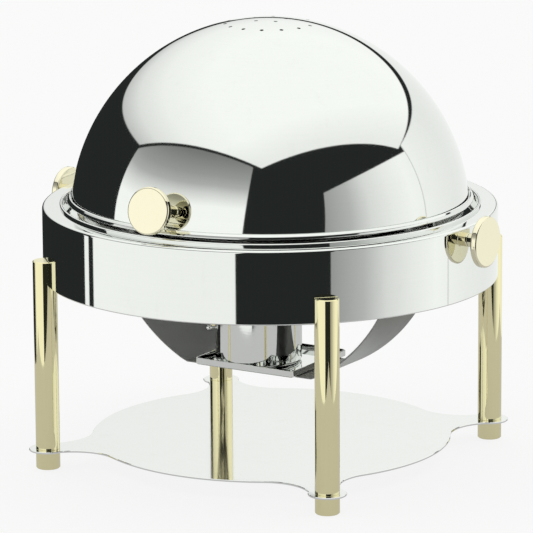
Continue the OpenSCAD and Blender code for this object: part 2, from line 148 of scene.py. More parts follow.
look = room.nodes.new("ShaderNodeTexCoord").outputs["Generated"]
level_back = np.array([math.sin(view_azimuth), -math.cos(view_azimuth), 0.0])
toward = along(room, look, level_back)
rightward = along(room, look, level_right)
upward = along(room, look, (0.0, 0.0, 1.0))
turn = degrees(room, calc(room, "ARCTAN2", rightward, toward))
height = degrees(room, calc(room, "ARCSINE", upward))


def course(tree, value, places):
    """A level that goes evenly from one (value, level) place to the next: the first level, plus one even ramp of
    the levels' difference for each step."""
    level = places[0][1]
    for (low, start), (high, end) in zip(places, places[1:]):
        level = calc(tree, "ADD", ramp(tree, value, low, high, 0.0, end - start, False), level)
    return level


def distance(turned_by, raised_by):
    """How far a look goes past a plane through the eye: its dot product with the plane's normal. In degrees, the
    normal is turned to the right from the camera's side and raised from the level."""
    bearing, rise = math.radians(turned_by), math.radians(raised_by)
    level = level_back * math.cos(bearing) + level_right * math.sin(bearing)
    return along(room, look, level * math.cos(rise) + np.array([0.0, 0.0, math.sin(rise)]))


def beyond(gone, edge=0.0):
    """1 where the distance gone is more than edge, 0 where it is less, and a soft step between them."""
    return ramp(room, gone, edge - edge_blur, edge + edge_blur)


def short_of(gone, edge=0.0):
    """1 where the distance gone is less than edge, 0 where it is more, and a soft step between them."""
    return ramp(room, gone, edge - edge_blur, edge + edge_blur, 1.0, 0.0)


def product(tree, *shares):
    """All the shares multiplied together."""
    total = shares[0]
    for share in shares[1:]:
        total = calc(tree, "MULTIPLY", total, share)
    return total


# Overhead panel: four straight edges, each a plane through the eye, and a little darker towards
# the left edge and the near right edge
near_left = distance(138.0, 45.3)
near_right = distance(-145.3, 43.5)
far_left = distance(91.5, 62.4)
far_right = distance(-73.9, 63.2)
overhead = product(room, beyond(near_left), beyond(near_right), beyond(far_left), beyond(far_right))
overhead_level = product(room, course(room, far_left, [(0.0, 0.58), (0.12, 0.84), (0.30, 1.00), (0.60, 1.09)]),
                         course(room, near_right, [(0.05, 0.88), (0.35, 1.0)]))

# Left panel: white at the bottom, fading to grey where it slopes back at the top
panel_start = -100.0
panel_end = course(room, height, [(-10.0, -17.4), (0.0, -15.9), (40.0, -11.8)])
panel_gap = -0.026
left_panel = product(room, ramp(room, turn, panel_start - side_blur, panel_start + side_blur),
                     ramp(room, calc(room, "SUBTRACT", turn, panel_end), -side_blur, side_blur, 1.0, 0.0),
                     short_of(near_left, panel_gap))
slope_height = calc(room, "ADD", height, ramp(room, turn, -90.0, -35.0, 4.5, -1.0, False))
left_level = course(room, slope_height, [(-16.0, 0.98), (4.0, 1.07), (14.0, 1.05), (21.0, 0.72), (25.5, 0.46),
                                         (31.0, 0.34), (42.0, 0.20)])
stripe = product(room, between(room, turn, -107.0, -103.6, 0.3), ramp(room, height, -6.0, -5.0, 1.0, 0.0))

# Right wall: its top edge is straight, and it grows whiter towards the back, where it goes up to
# the dark gap round the overhead panel's far side
wall_top = distance(-110.8, 63.0)
far_gap = distance(-82.1, 63.4)
wall_start = course(room, height, [(-10.0, 29.9), (0.0, 30.8), (22.0, 32.8)])
wall_end = 100.0
sliver_start = -177.6
side_wall = product(room, ramp(room, calc(room, "SUBTRACT", turn, wall_start), -side_blur, side_blur),
                    ramp(room, turn, wall_end - side_blur, wall_end + side_blur, 1.0, 0.0), short_of(wall_top))
behind = calc(room, "MAXIMUM", ramp(room, turn, wall_end - 1.0, wall_end + 1.0),
              ramp(room, turn, sliver_start - side_blur, sliver_start + side_blur, 1.0, 0.0))
back_wall = product(room, behind, short_of(far_gap))
wall_level = course(room, calc(room, "ABSOLUTE", turn), [(30.0, 0.33), (47.0, 0.50), (60.0, 0.78), (75.0, 0.93),
                                                         (91.0, 1.04), (110.0, 0.97), (136.0, 0.90), (180.0, 0.93)])

light = calc(room, "MULTIPLY", overhead, overhead_level)
for shape, level in ((left_panel, left_level), (side_wall, wall_level), (back_wall, wall_level), (stripe, 1.0)):
    light = calc(room, "MAXIMUM", light, calc(room, "MULTIPLY", shape, level))

glow = room.nodes.new("ShaderNodeMix")
glow.data_type = "RGBA"
glow.blend_type = "ADD"
glow.inputs["Factor"].default_value = 1.0
glow.inputs["A"].default_value = (*gap_dark, 1.0)
tint = room.nodes.new("ShaderNodeVectorMath")
tint.operation = "SCALE"
tint.inputs[0].default_value = (0.985, 1.0, 0.975)
room.links.new(light, tint.inputs["Scale"])
room.links.new(tint.outputs[0], glow.inputs["B"])

panels = room.nodes.new("ShaderNodeBackground")
room.links.new(glow.outputs["Result"], panels.inputs["Color"])
backdrop = room.nodes.new("ShaderNodeBackground")
backdrop.inputs["Color"].default_value = (*backdrop_pale, 1.0)
seen_by = room.nodes.new("ShaderNodeLightPath")
choose = room.nodes.new("ShaderNodeMixShader")
room.links.new(seen_by.outputs["Is Camera Ray"], choose.inputs["Fac"])
room.links.new(panels.outputs[0], choose.inputs[1])
room.links.new(backdrop.outputs[0], choose.inputs[2])
world_out = room.nodes.new("ShaderNodeOutputWorld")
room.links.new(choose.outputs[0], world_out.inputs["Surface"])
bpy.context.scene.view_settings.view_transform = "Standard"
bpy.context.scene.view_settings.look = "None"

# The floor. A plain pale sheet, lit a little by itself so that it stays as pale as the backdrop,
# and the table top that only polished metal shows: the lower legs mirror it and not the room.
floor_half = 9.0
table_half = 0.62


def mesh_object(name, surfaces):
    """A mesh object from surfaces that follow one another. Each is an array of points and a list of arrays of point
    numbers, counted from that surface's first point."""
    points = np.concatenate([own for own, _ in surfaces])
    starts = np.cumsum([0] + [len(own) for own, _ in surfaces])
    faces = [row for start, (_, groups) in zip(starts, surfaces) for group in groups
             for row in (group + start).tolist()]
    mesh = bpy.data.meshes.new(name)
    mesh.from_pydata(points.tolist(), [], faces)
    mesh.update()
    piece = bpy.data.objects.new(name, mesh)
    bpy.context.scene.collection.objects.link(piece)
    return piece


def new_material(name):
    """A node material with only its Principled shader, and that shader."""
    material = bpy.data.materials.new(name)
    material.use_nodes = True
    shader = material.node_tree.nodes["Principled BSDF"]
    return material, material.node_tree, shader


def glowing_sheet(name, half, level, grey, glow_strength):
    """A square sheet lit a little by itself: plus and minus half across, at the given level."""
    corners = np.array([[-half, -half, level], [half, -half, level], [half, half, level], [-half, half, level]])
    sheet = mesh_object(name, [(corners, [np.array([[0, 1, 2, 3]])])])
    paint, _, shader = new_material(name + "_paint")
    shader.inputs["Base Color"].default_value = (grey, grey, grey, 1.0)
    shader.inputs["Roughness"].default_value = 0.9
    shader.inputs["Specular IOR Level"].default_value = 0.0
    shader.inputs["Emission Color"].default_value = (1.0, 1.0, 1.0, 1.0)
    shader.inputs["Emission Strength"].default_value = glow_strength
    sheet.data.materials.append(paint)
    return sheet


floor = glowing_sheet("floor", floor_half, -0.0002, 0.12, 0.85)
floor.visible_glossy = False
table_top = glowing_sheet("table_top", table_half, -0.0001, 0.10, 0.50)
table_top.visible_camera = False
table_top.visible_diffuse = False
table_top.visible_shadow = False

# Base plate. A 2 mm sheet of stainless steel, cut round with four round-ended tabs, its edges
# eased and both faces polished, with fine lines along it. The legs and feet clamp it at the tabs.
plate_low, plate_high = (corner[2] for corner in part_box("base_plate"))
plate_radius = 0.187
leg_circle = 0.237
tab_half_width = 0.017
tab_tip_radius = 0.0195
tab_fillet = 0.048
edge_ease = 0.0004


def arc(centre, radius, start, end, steps):
    """Points on a circle from one angle to another, as complex numbers: centre plus radius times e to the i angle."""
    return centre + radius * np.exp(1j * np.linspace(start, end, steps))


def plate_outline(steps):
    """One quarter of the outline, from the middle's edge round a tab and back, turned four times: the hollow curve
    touches the round middle and the tab's straight side, and the tip is a circle round the leg."""
    side = tab_half_width + tab_fillet
    reach = math.sqrt((plate_radius + tab_fillet) ** 2 - side ** 2)
    lean = math.atan2(side, reach)
    tip_half = math.pi - math.asin(tab_half_width / tab_tip_radius)
    rim = arc(0, plate_radius, -math.pi / 4, -lean, steps)[:-1]
    first = arc(complex(reach, -side), tab_fillet, math.pi - lean, math.pi / 2, steps)
    tip = arc(leg_circle, tab_tip_radius, -tip_half, tip_half, steps)
    last = np.conj(first[::-1])
    rest = arc(0, plate_radius, lean, math.pi / 4, steps)[1:-1]
    quarter = np.concatenate([rim, first, tip, last, rest])
    turns = np.exp(1j * (math.pi / 4 + math.pi / 2 * np.arange(4)))
    return (turns[:, None] * quarter[None, :]).ravel()


def inset(outline, depth):
    """A closed outline moved inwards: each point goes against the outward normal of the line through its neighbours."""
    ahead = np.roll(outline, -1) - np.roll(outline, 1)
    normal = -1j * ahead / np.abs(ahead)
    return outline - normal * depth


def ring_faces(rings, count, close_rings=False):
    """Quads between neighbouring rings of the same count of points, each ring closed on itself."""
    start = np.arange(rings if close_rings else rings - 1)[:, None] * count
    here = np.arange(count)[None, :]
    after = (here + 1) % count
    above = (start + count) % (rings * count)
    return np.stack([start + here, start + after, above + after, above + here], axis=-1).reshape(-1, 4)


upright = ((1, 0, 0), (0, 1, 0), (0, 0, 1))


def layered(outline, levels, axes=upright, at=(0, 0, 0)):
    """A closed surface from one counter-clockwise outline: a ring of it at each level, which is (inset, height),
    quads between the rings and a flat face at each end. Axes are where the outline's x, y and the height point."""
    flat = np.concatenate([inset(outline, depth) for depth, _ in levels])
    heights = np.repeat([level for _, level in levels], len(outline))
    local = np.stack([flat.real, flat.imag, heights], axis=1)
    count = len(outline)
    first = np.arange(count)[::-1][None, :]
    last = np.arange(count)[None, :] + count * (len(levels) - 1)
    return local @ np.array(axes, float) + np.array(at), [ring_faces(len(levels), count), first, last]


def eased(low, high, ease):
    """The levels of a plain sheet with eased edges."""
    return [(ease, low), (0.0, low + ease), (0.0, high - ease), (ease, high)]


def finish_edges(piece, degrees_sharp=35.0):
    """Smooth shading, with an edge kept sharp where its faces turn by more than the given angle, and with the
    large faces setting the normals, so that flats stay flat up to their rounded edges."""
    piece.data.shade_smooth()
    piece.data.set_sharp_from_angle(angle=math.radians(degrees_sharp))
    flats = piece.modifiers.new("flats", "WEIGHTED_NORMAL")
    flats.keep_sharp = True


def new_group(name, inputs, outputs):
    """An empty shader node group with the named inputs (name, kind, value) and outputs (name, kind)."""
    group = bpy.data.node_groups.new(name, "ShaderNodeTree")
    for label, kind, value in inputs:
        socket = group.interface.new_socket(label, in_out="INPUT", socket_type=kind)
        socket.default_value = value
    for label, kind in outputs:
        group.interface.new_socket(label, in_out="OUTPUT", socket_type=kind)
    start = group.nodes.new("NodeGroupInput")
    end = group.nodes.new("NodeGroupOutput")
    return group, start, end


def noise(tree, vector, scale, detail=3.0, roughness=0.55):
    """Noise of the given scale at a vector output."""
    node = tree.nodes.new("ShaderNodeTexNoise")
    node.inputs["Scale"].default_value = scale
    node.inputs["Detail"].default_value = detail
    node.inputs["Roughness"].default_value = roughness
    tree.links.new(vector, node.inputs["Vector"])
    return node.outputs["Fac"]


def stretched(tree, vector, scale):
    """The vector with each coordinate multiplied by its own scale."""
    node = tree.nodes.new("ShaderNodeMapping")
    node.inputs["Scale"].default_value = scale
    tree.links.new(vector, node.inputs["Vector"])
    return node.outputs["Vector"]


# Buffing: how a polishing wheel leaves metal. Hair lines run one way, the sheet is faintly uneven,
# and thin haze and wiped-off marks change the gloss from place to place.
buffing, buff_in, buff_out = new_group(
    "buffing",
    [("Lines", "NodeSocketVector", (0.0, 0.0, 0.0)), ("Metal", "NodeSocketColor", (0.8, 0.8, 0.8, 1.0)),
     ("Worn", "NodeSocketColor", (0.7, 0.7, 0.7, 1.0)), ("Gloss", "NodeSocketFloat", 0.03),
     ("Haze", "NodeSocketFloat", 0.03), ("Hair", "NodeSocketFloat", 0.02), ("Uneven", "NodeSocketFloat", 0.02)],
    [("Color", "NodeSocketColor"), ("Roughness", "NodeSocketFloat"), ("Normal", "NodeSocketVector")])
buff_place = buffing.nodes.new("ShaderNodeTexCoord").outputs["Object"]
buff_hair = noise(buffing, buff_in.outputs["Lines"], 1.0, 4.0, 0.7)
buff_cloud = noise(buffing, buff_place, 9.0, 5.0, 0.6)
buff_marks = noise(buffing, stretched(buffing, buff_place, (60.0, 60.0, 22.0)), 1.0, 6.0, 0.7)
buff_wipe = ramp(buffing, buff_marks, 0.52, 0.74)
buff_haze = calc(buffing, "ADD", calc(buffing, "MULTIPLY", buff_cloud, 0.5), calc(buffing, "MULTIPLY", buff_wipe, 0.5))
buff_rough = calc(buffing, "MULTIPLY_ADD", buff_haze, buff_in.outputs["Haze"], buff_in.outputs["Gloss"])
buff_share = calc(buffing, "MULTIPLY_ADD", buff_hair, 0.5, calc(buffing, "MULTIPLY", buff_haze, 0.6))
buff_mix = buffing.nodes.new("ShaderNodeMix")
buff_mix.data_type = "RGBA"
buffing.links.new(buff_share, buff_mix.inputs["Factor"])
buffing.links.new(buff_in.outputs["Metal"], buff_mix.inputs["A"])
buffing.links.new(buff_in.outputs["Worn"], buff_mix.inputs["B"])
buff_swell = noise(buffing, buff_place, 14.0, 1.0, 0.4)
buff_wave = buffing.nodes.new("ShaderNodeBump")
buff_wave.inputs["Distance"].default_value = 0.002
buffing.links.new(buff_in.outputs["Uneven"], buff_wave.inputs["Strength"])
buffing.links.new(buff_swell, buff_wave.inputs["Height"])
buff_lines = buffing.nodes.new("ShaderNodeBump")
buff_lines.inputs["Distance"].default_value = 0.0001
buffing.links.new(buff_in.outputs["Hair"], buff_lines.inputs["Strength"])
buffing.links.new(buff_hair, buff_lines.inputs["Height"])
buffing.links.new(buff_wave.outputs["Normal"], buff_lines.inputs["Normal"])
buffing.links.new(buff_mix.outputs["Result"], buff_out.inputs["Color"])
buffing.links.new(buff_rough, buff_out.inputs["Roughness"])
buffing.links.new(buff_lines.outputs["Normal"], buff_out.inputs["Normal"])


def flat_lines(tree):
    """Hair lines that run along X: the place, drawn out along X."""
    place = tree.nodes.new("ShaderNodeTexCoord").outputs["Object"]
    return stretched(tree, place, (6.0, 900.0, 900.0))


def turned_lines(tree, centre=(0.0, 0.0, 0.0), turn=(0.0, 0.0, 0.0)):
    """Hair lines that run round a centre line: distance from the line and height along it are stretched, the angle
    is not. The line is Z through the centre after the given turn."""
    place = tree.nodes.new("ShaderNodeTexCoord").outputs["Object"]
    move = tree.nodes.new("ShaderNodeMapping")
    move.vector_type = "TEXTURE"
    move.inputs["Location"].default_value = centre
    move.inputs["Rotation"].default_value = turn
    tree.links.new(place, move.inputs["Vector"])
    split = tree.nodes.new("ShaderNodeSeparateXYZ")
    tree.links.new(move.outputs["Vector"], split.inputs[0])
    x, y, z = split.outputs
    reach = calc(tree, "SQRT", calc(tree, "MULTIPLY_ADD", x, x, calc(tree, "MULTIPLY", y, y)))
    join = tree.nodes.new("ShaderNodeCombineXYZ")
    tree.links.new(calc(tree, "MULTIPLY", reach, 700.0), join.inputs[0])
    tree.links.new(calc(tree, "MULTIPLY", calc(tree, "ARCTAN2", y, x), 1.6), join.inputs[1])
    tree.links.new(calc(tree, "MULTIPLY", z, 700.0), join.inputs[2])
    return join.outputs[0]


def metal(name, lines, colour, worn, gloss, haze, hair, uneven):
    """A bare metal finished by buffing; lines makes the vector that its hair lines follow."""
    material, tree, shader = new_material(name)
    buff = tree.nodes.new("ShaderNodeGroup")
    buff.node_tree = buffing
    tree.links.new(lines(tree), buff.inputs["Lines"])
    buff.inputs["Metal"].default_value = (*colour, 1.0)
    buff.inputs["Worn"].default_value = (*worn, 1.0)
    for label, value in (("Gloss", gloss), ("Haze", haze), ("Hair", hair), ("Uneven", uneven)):
        buff.inputs[label].default_value = value
    shader.inputs["Metallic"].default_value = 1.0
    tree.links.new(buff.outputs["Color"], shader.inputs["Base Color"])
    tree.links.new(buff.outputs["Roughness"], shader.inputs["Roughness"])
    tree.links.new(buff.outputs["Normal"], shader.inputs["Normal"])
    return material


steel_colour = (0.86, 0.875, 0.86)
steel_worn = (0.80, 0.81, 0.79)
mirror_sheet = metal("mirror_sheet", flat_lines, steel_colour, steel_worn, 0.03, 0.03, 0.02, 0.012)
plate_steel = metal("plate_steel", flat_lines, (0.87, 0.875, 0.87), steel_worn, 0.05, 0.03, 0.04, 0.004)

base_plate = mesh_object("base_plate_sheet", [layered(plate_outline(24), eased(plate_low, plate_high, edge_ease))])
finish_edges(base_plate)
base_plate.data.materials.append(plate_steel)
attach(base_plate, "stand")
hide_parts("base_plate")

# Feet and legs. 25 mm bar of pale brass, turned, faced and polished bright, one length under the
# plate and one above it, drawn together on a threaded rod. Each leg is cut away above the ring's
# hem, so that the ring stands on it and the outer part of the bar rises up the ring's side.
leg_radius = 0.0124
leg_chamfer = 0.0009
ring_radius = 0.235
ring_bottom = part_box("body_ring")[0][2]
leg_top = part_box("leg_front_left")[1][2]
leg_colour = (0.92, 0.855, 0.55)
leg_worn = (0.86, 0.79, 0.47)
leg_brass = metal("leg_brass", lambda tree: stretched(tree, tree.nodes.new("ShaderNodeTexCoord").outputs["Object"],
                                                      (500.0, 500.0, 9.0)),
                  leg_colour, leg_worn, 0.035, 0.03, 0.02, 0.006)


def merged(points, quads):
    """Points that coincide become one, and a quad that loses a corner by it becomes a triangle."""
    _, first, number = np.unique(np.round(points, 8) + 0.0, axis=0, return_index=True, return_inverse=True)
    quads = number.ravel()[quads]
    lost = quads == np.roll(quads, -1, axis=1)
    thin = lost.sum(axis=1) == 1
    triangles = quads[thin][~lost[thin]].reshape(-1, 3)
    return points[first], [quads[~lost.any(axis=1)], triangles]


def turned(profile, steps, axes=upright, at=(0, 0, 0)):
    """The surface of a closed profile of complex numbers, radius plus i times height, turned round the height
    axis: each point becomes a ring of radius times cosine and sine. Points on the axis are merged into one."""
    area = np.sum(profile.real * np.roll(profile.imag, -1) - np.roll(profile.real, -1) * profile.imag)
    if area < 0:
        profile = profile[::-1]
    angles = np.linspace(0, 2 * math.pi, steps, endpoint=False)
    reach = profile.real[:, None]
    local = np.stack([reach * np.cos(angles), reach * np.sin(angles),
                      np.repeat(profile.imag[:, None], steps, axis=1)], axis=-1).reshape(-1, 3)
    return merged(local @ np.array(axes, float) + np.array(at), ring_faces(len(profile), steps, close_rings=True))


def assembled(name, surfaces, material, body, node):
    """A finished piece: one object from its surfaces, in its material, that rides on a body in place of a node."""
    piece = mesh_object(name, surfaces)
    finish_edges(piece)
    piece.data.materials.append(material)
    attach(piece, body)
    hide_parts(node)
    return piece


def rounded(corners, radii, steps=6):
    """A closed outline with its corners rounded. Each corner's arc touches both sides at radius over the tangent of
    half the corner's angle, about a centre on the line that halves the angle."""
    points = np.array(corners, complex)
    radii = np.broadcast_to(np.array(radii, float), points.shape)
    back = np.roll(points, 1) - points
    ahead = np.roll(points, -1) - points
    back = back / np.abs(back)
    ahead = ahead / np.abs(ahead)
    half = np.arccos(np.clip((back * np.conj(ahead)).real, -1, 1)) / 2
    middle = (back + ahead) / np.abs(back + ahead)
    centres = points + middle * radii / np.sin(half)
    starts = points + back * radii / np.tan(half)
    side = -np.sign((np.conj(back) * ahead).imag)
    sweep = side * (math.pi - 2 * half)
    share = np.linspace(0, 1, steps)[None, :]
    arcs = centres[:, None] + (starts - centres)[:, None] * np.exp(1j * sweep[:, None] * share)
    outline = arcs.ravel()
    return outline[np.abs(outline - np.roll(outline, 1)) > 1e-7]


def bar_profile(low, high, low_ease, high_ease):
    """Half section of a round bar with eased ends."""
    return np.array([0 + 1j * low, leg_radius - low_ease + 1j * low, leg_radius + 1j * (low + low_ease),
                     leg_radius + 1j * (high - high_ease), leg_radius - high_ease + 1j * high, 0 + 1j * high])


def crescent(steps):
    """Outline of the part of a leg that stands outside the ring: the bar's own arc, then the ring's, which cross
    where both circles meet."""
    ring = ring_radius + 0.00005
    cross = (ring ** 2 - leg_radius ** 2 + leg_circle ** 2) / (2 * leg_circle)
    ring_half = math.acos(cross / ring)
    bar_half = math.pi - math.acos((leg_circle - cross) / leg_radius)
    outer = arc(leg_circle, leg_radius, -bar_half, bar_half, steps)
    inner = arc(0, ring, ring_half, -ring_half, steps // 2)[1:-1]
    return np.concatenate([outer, inner])


for angle, place in ((-135, "front_left"), (-45, "front_right"), (135, "back_left"), (45, "back_right")):
    turn_by = math.radians(angle)
    outward = np.exp(1j * turn_by)
    centre = (outward.real * leg_circle, outward.imag * leg_circle, 0.0)
    foot = turned(bar_profile(0.0, plate_low, 0.0010, 0.0003), 96, at=centre)
    bar = turned(bar_profile(plate_high, ring_bottom, 0.0003, 0.0), 96, at=centre)
    rise = layered(crescent(49) * outward, [(0.0, ring_bottom), (0.0, leg_top - leg_chamfer), (leg_chamfer, leg_top)])
    assembled(f"foot_bar_{place}", [foot], leg_brass, "stand", f"foot_{place}")
    assembled(f"leg_bar_{place}", [bar, rise], leg_brass, "stand", f"leg_{place}")

plain_steel = metal("plain_steel", flat_lines, (0.62, 0.63, 0.62), (0.50, 0.50, 0.49), 0.24, 0.14, 0.05, 0.0)


def dress(node, material):
    """A node that keeps its own shape gets the material in each of its slots."""
    for place in frame["nodes"][node].material_slots:
        place.material = material


dress("leg_studs", plain_steel)

# Body ring. Stainless sheet rolled to a band, its top flanged in to the opening with a rounded
# shoulder, its bottom hemmed in, and the whole buffed to a mirror before the legs go on.
ring_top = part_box("top_sheet")[1][2]
opening_radius = 0.214
ring_sheet = 0.0012
hem_width = 0.006
lip_depth = 0.0055
shoulder = 0.003
ring_steel = metal("ring_steel", turned_lines, steel_colour, steel_worn, 0.028, 0.025, 0.02, 0.010)

ring_inside = ring_radius - ring_sheet
ring_corners = [
    (ring_radius - hem_width, ring_bottom), (ring_radius, ring_bottom), (ring_radius, ring_top),
    (opening_radius, ring_top), (opening_radius, ring_top - lip_depth),
    (opening_radius + ring_sheet, ring_top - lip_depth), (opening_radius + ring_sheet, ring_top - ring_sheet),
    (ring_inside, ring_top - ring_sheet), (ring_inside, ring_bottom + ring_sheet),
    (ring_radius - hem_width, ring_bottom + ring_sheet)]
ring_round = [0.0004, 0.0014, shoulder, 0.0008, 0.0004, 0.0004, 0.0002, shoulder - ring_sheet, 0.0004, 0.0004]
ring_profile = rounded([r + 1j * z for r, z in ring_corners], ring_round, 9)
body_ring = assembled("body_ring_sheet", [turned(ring_profile, 288)], ring_steel, "stand", "body_ring")
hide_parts("top_sheet")
dress("ring_screws", plain_steel)

# Opening bead. Half-round wire, soft-soldered on the ring's top round the opening.
bead_low, bead_high = (corner[2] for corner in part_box("opening_trim"))
bead_half = (bead_high - bead_low) / 2
bead_centre = opening_radius + bead_half + 1j * (bead_low + bead_half)
bead_profile = np.concatenate([arc(bead_centre, bead_half, 0, math.pi, 17),
                               [bead_centre - bead_half - 1j * bead_half, bead_centre + bead_half - 1j * bead_half]])
assembled("opening_bead", [turned(bead_profile, 288)], ring_steel, "stand", "opening_trim")

# Knobs. Three thick discs turned with their necks from one bar of brass, edges rounded over and
# polished. Two screw on the pivot studs, and the third on the cover's front.
axis_height = frame["joints"][0]["pos_m"][2]
knob_radius = 0.026
handle_radius = 0.0238
knob_thickness = 0.0075
neck_radius = 0.007
knob_start = 0.2351
side_neck = 0.0135
handle_start = 0.20605
handle_neck = 0.0218
handle_angle = math.radians(11.6)

to_right = ((0, 1, 0), (0, 0, 1), (1, 0, 0))
to_left = ((0, -1, 0), (0, 0, 1), (-1, 0, 0))
handle_axes = ((1, 0, 0), (0, math.sin(handle_angle), math.cos(handle_angle)),
               (0, -math.cos(handle_angle), math.sin(handle_angle)))
axis_centre = (0.0, 0.0, axis_height)
brass_colour = (0.93, 0.88, 0.68)
brass_worn = (0.88, 0.82, 0.60)
side_brass = metal("side_brass", lambda tree: turned_lines(tree, axis_centre, (0, math.pi / 2, 0)),
                   brass_colour, brass_worn, 0.035, 0.03, 0.02, 0.004)
handle_brass = metal("handle_brass",
                     lambda tree: turned_lines(tree, axis_centre, (math.pi / 2 - handle_angle, 0, 0)),
                     brass_colour, brass_worn, 0.035, 0.03, 0.02, 0.004)


def knob(start, neck, radius):
    """Section of a disc on a neck, with a small hollow where they meet, drawn along its axis from the neck's end."""
    face = start + neck + knob_thickness
    corners = [1j * start, neck_radius + 1j * start, neck_radius + 1j * (start + neck),
               radius + 1j * (start + neck), radius + 1j * face, 1j * face]
    return rounded(corners, [0.0, 0.0003, 0.0012, 0.0022, 0.0021, 0.0], 9)


for side, axes in (("left", to_left), ("right", to_right)):
    disc = turned(knob(knob_start, side_neck, knob_radius), 160, axes, axis_centre)
    assembled(f"side_knob_{side}", [disc], side_brass, "stand", f"pivot_knob_{side}")
assembled("front_handle",
          [turned(knob(handle_start, handle_neck, handle_radius), 160, handle_axes, axis_centre)],
          handle_brass, "cover", "handle_knob")

# Pivots. Studs, spacers, nuts, washers and flanged bushes are plain turned parts, left as the
# lathe leaves them: steel ones grey, and the washers and bushes of a yellower brass.
turned_steel = metal("turned_steel", lambda tree: turned_lines(tree, axis_centre, (0, math.pi / 2, 0)),
                     (0.62, 0.63, 0.62), (0.48, 0.48, 0.47), 0.22, 0.14, 0.06, 0.0)
turned_brass = metal("turned_brass", lambda tree: turned_lines(tree, axis_centre, (0, math.pi / 2, 0)),
                     (0.72, 0.58, 0.28), (0.55, 0.42, 0.20), 0.22, 0.14, 0.06, 0.0)
for side in ("left", "right"):
    for part in ("stud", "spacer", "nut"):
        dress(f"pivot_{part}_{side}", turned_steel)
    dress(f"pivot_washer_{side}", turned_brass)
    dress(f"ear_bush_{side}", turned_brass)
dress("handle_screw", plain_steel)

# Pan carrier. A flat ring of 1.5 mm sheet with its outer edge turned down, which carries the water
# pan on top and hangs from the pivots by two lugs. Satin, because it is hidden when in use.
carrier_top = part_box("pan_carrier")[1][2]
carrier_outer = 0.199
carrier_inner = 0.1605
carrier_sheet = 0.0015
skirt_depth = 0.011
lug_start = 0.194
lug_end = 0.200
lug_radius = 0.0115
satin_steel = metal("satin_steel", turned_lines, (0.80, 0.81, 0.79), (0.70, 0.70, 0.68), 0.13, 0.09, 0.10, 0.004)

carrier_corners = [
    (carrier_inner, carrier_top - carrier_sheet), (carrier_outer - carrier_sheet, carrier_top - carrier_sheet),
    (carrier_outer - carrier_sheet, carrier_top - skirt_depth), (carrier_outer, carrier_top - skirt_depth),
    (carrier_outer, carrier_top), (carrier_inner, carrier_top)]
carrier_profile = rounded([r + 1j * z for r, z in carrier_corners], [0.0004, 0.0008, 0.0004, 0.0004, 0.0022, 0.0004], 7)
lug_top = carrier_top - carrier_sheet - axis_height
lug_outline = np.concatenate([arc(0, lug_radius, math.pi, 2 * math.pi, 25),
                              [lug_radius + 1j * lug_top, -lug_radius + 1j * lug_top]])
lugs = [layered(lug_outline, eased(lug_start, lug_end, 0.0004), axes, axis_centre) for axes in (to_left, to_right)]
assembled("carrier_ring", [turned(carrier_profile, 240), *lugs], satin_steel, "stand", "pan_carrier")

# Cradle. Two wide straps of satin sheet, bent to a curve under the pans, with their feet
# turned in and riveted under the carrier and their tabs riveted under the burner shelf. Their steel is
# painted dark grey, darker than the other steel: painted shade for how dark they show under the ring.
strap_thickness = 0.0015
strap_width = 0.090
strap_radius = 0.1775 + strap_thickness / 2
strap_top = carrier_top - carrier_sheet
foot_end = 0.163
tab_start = 0.035
shelf_low, shelf_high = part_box("burner_shelf")
shelf_bottom = shelf_low[2]
rivet_y = 0.030
shelf_rivet_x = 0.045
carrier_rivet_x = 0.1695
rivet_head = 0.0036
rivet_height = 0.0016


def strap_line():
    """The strap's middle line, with the carrier's underside at zero: along the tab, round the big curve, and inwards
    along the foot. Each bend is a small arc."""
    tab_level = shelf_bottom - strap_thickness / 2 - strap_top
    foot_level = -strap_thickness / 2
    foot_bend = 0.002
    low = math.asin(tab_level / strap_radius)
    high = math.asin((foot_level - foot_bend) / strap_radius)
    bend = strap_radius * np.exp(1j * low)
    tab = np.concatenate([[tab_start + 1j * tab_level], bend - 0.006 * np.linspace(1, 0, 7)])
    curve = arc(0, strap_radius, low + 0.03, high, 60)
    turned_in = arc(strap_radius - foot_bend + 1j * (foot_level - foot_bend), foot_bend, 0, math.pi / 2, 7)
    return np.concatenate([tab[:-1], curve[:-1], turned_in, [foot_end + 1j * foot_level]])


def thickened(line, thickness):
    """A closed outline from an open line: the line moved half the thickness to each side along its normals."""
    ahead = np.gradient(line)
    normal = -1j * ahead / np.abs(ahead)
    return np.concatenate([line + normal * thickness / 2, (line - normal * thickness / 2)[::-1]])


strap_outline = thickened(strap_line(), strap_thickness)
strap_centre = (0.0, 0.0, strap_top)
# Dark grey base colour: painted shade standing in for the darkness of the straps under the ring.
strap_shade_darkened_steel = metal("strap_shade_darkened_steel", flat_lines, (0.30, 0.305, 0.30), (0.24, 0.24, 0.235), 0.34, 0.10, 0.06, 0.0)
for side, axes in (("left", ((-1, 0, 0), (0, 0, 1), (0, 1, 0))), ("right", ((1, 0, 0), (0, 0, 1), (0, -1, 0)))):
    strap = layered(strap_outline, eased(-strap_width / 2, strap_width / 2, 0.0003), axes, strap_centre)
    assembled(f"strap_{side}", [strap], strap_shade_darkened_steel, "stand", f"cradle_{side}")


def rivets(x, seat, grip):
    """Four round-headed rivets at plus and minus x, heads down under the seat's level, flush on top."""
    dome = arc(1j * (rivet_head - rivet_height), rivet_head, -math.pi / 2, -math.asin(1 - rivet_height / rivet_head), 9)
    section = np.concatenate([dome, [dome[-1].real + 0j, 0.002 + 0j, 0.002 + 1j * grip, 1j * grip]])
    return [turned(section, 32, at=(across, deep, seat)) for across in (-x, x) for deep in (-rivet_y, rivet_y)]


assembled("carrier_rivet_heads", rivets(carrier_rivet_x, strap_top - strap_thickness, 0.003),
          plain_steel, "stand", "carrier_rivets")
assembled("shelf_rivet_heads", rivets(shelf_rivet_x, shelf_bottom - strap_thickness, 0.0027),
          plain_steel, "stand", "shelf_rivets")

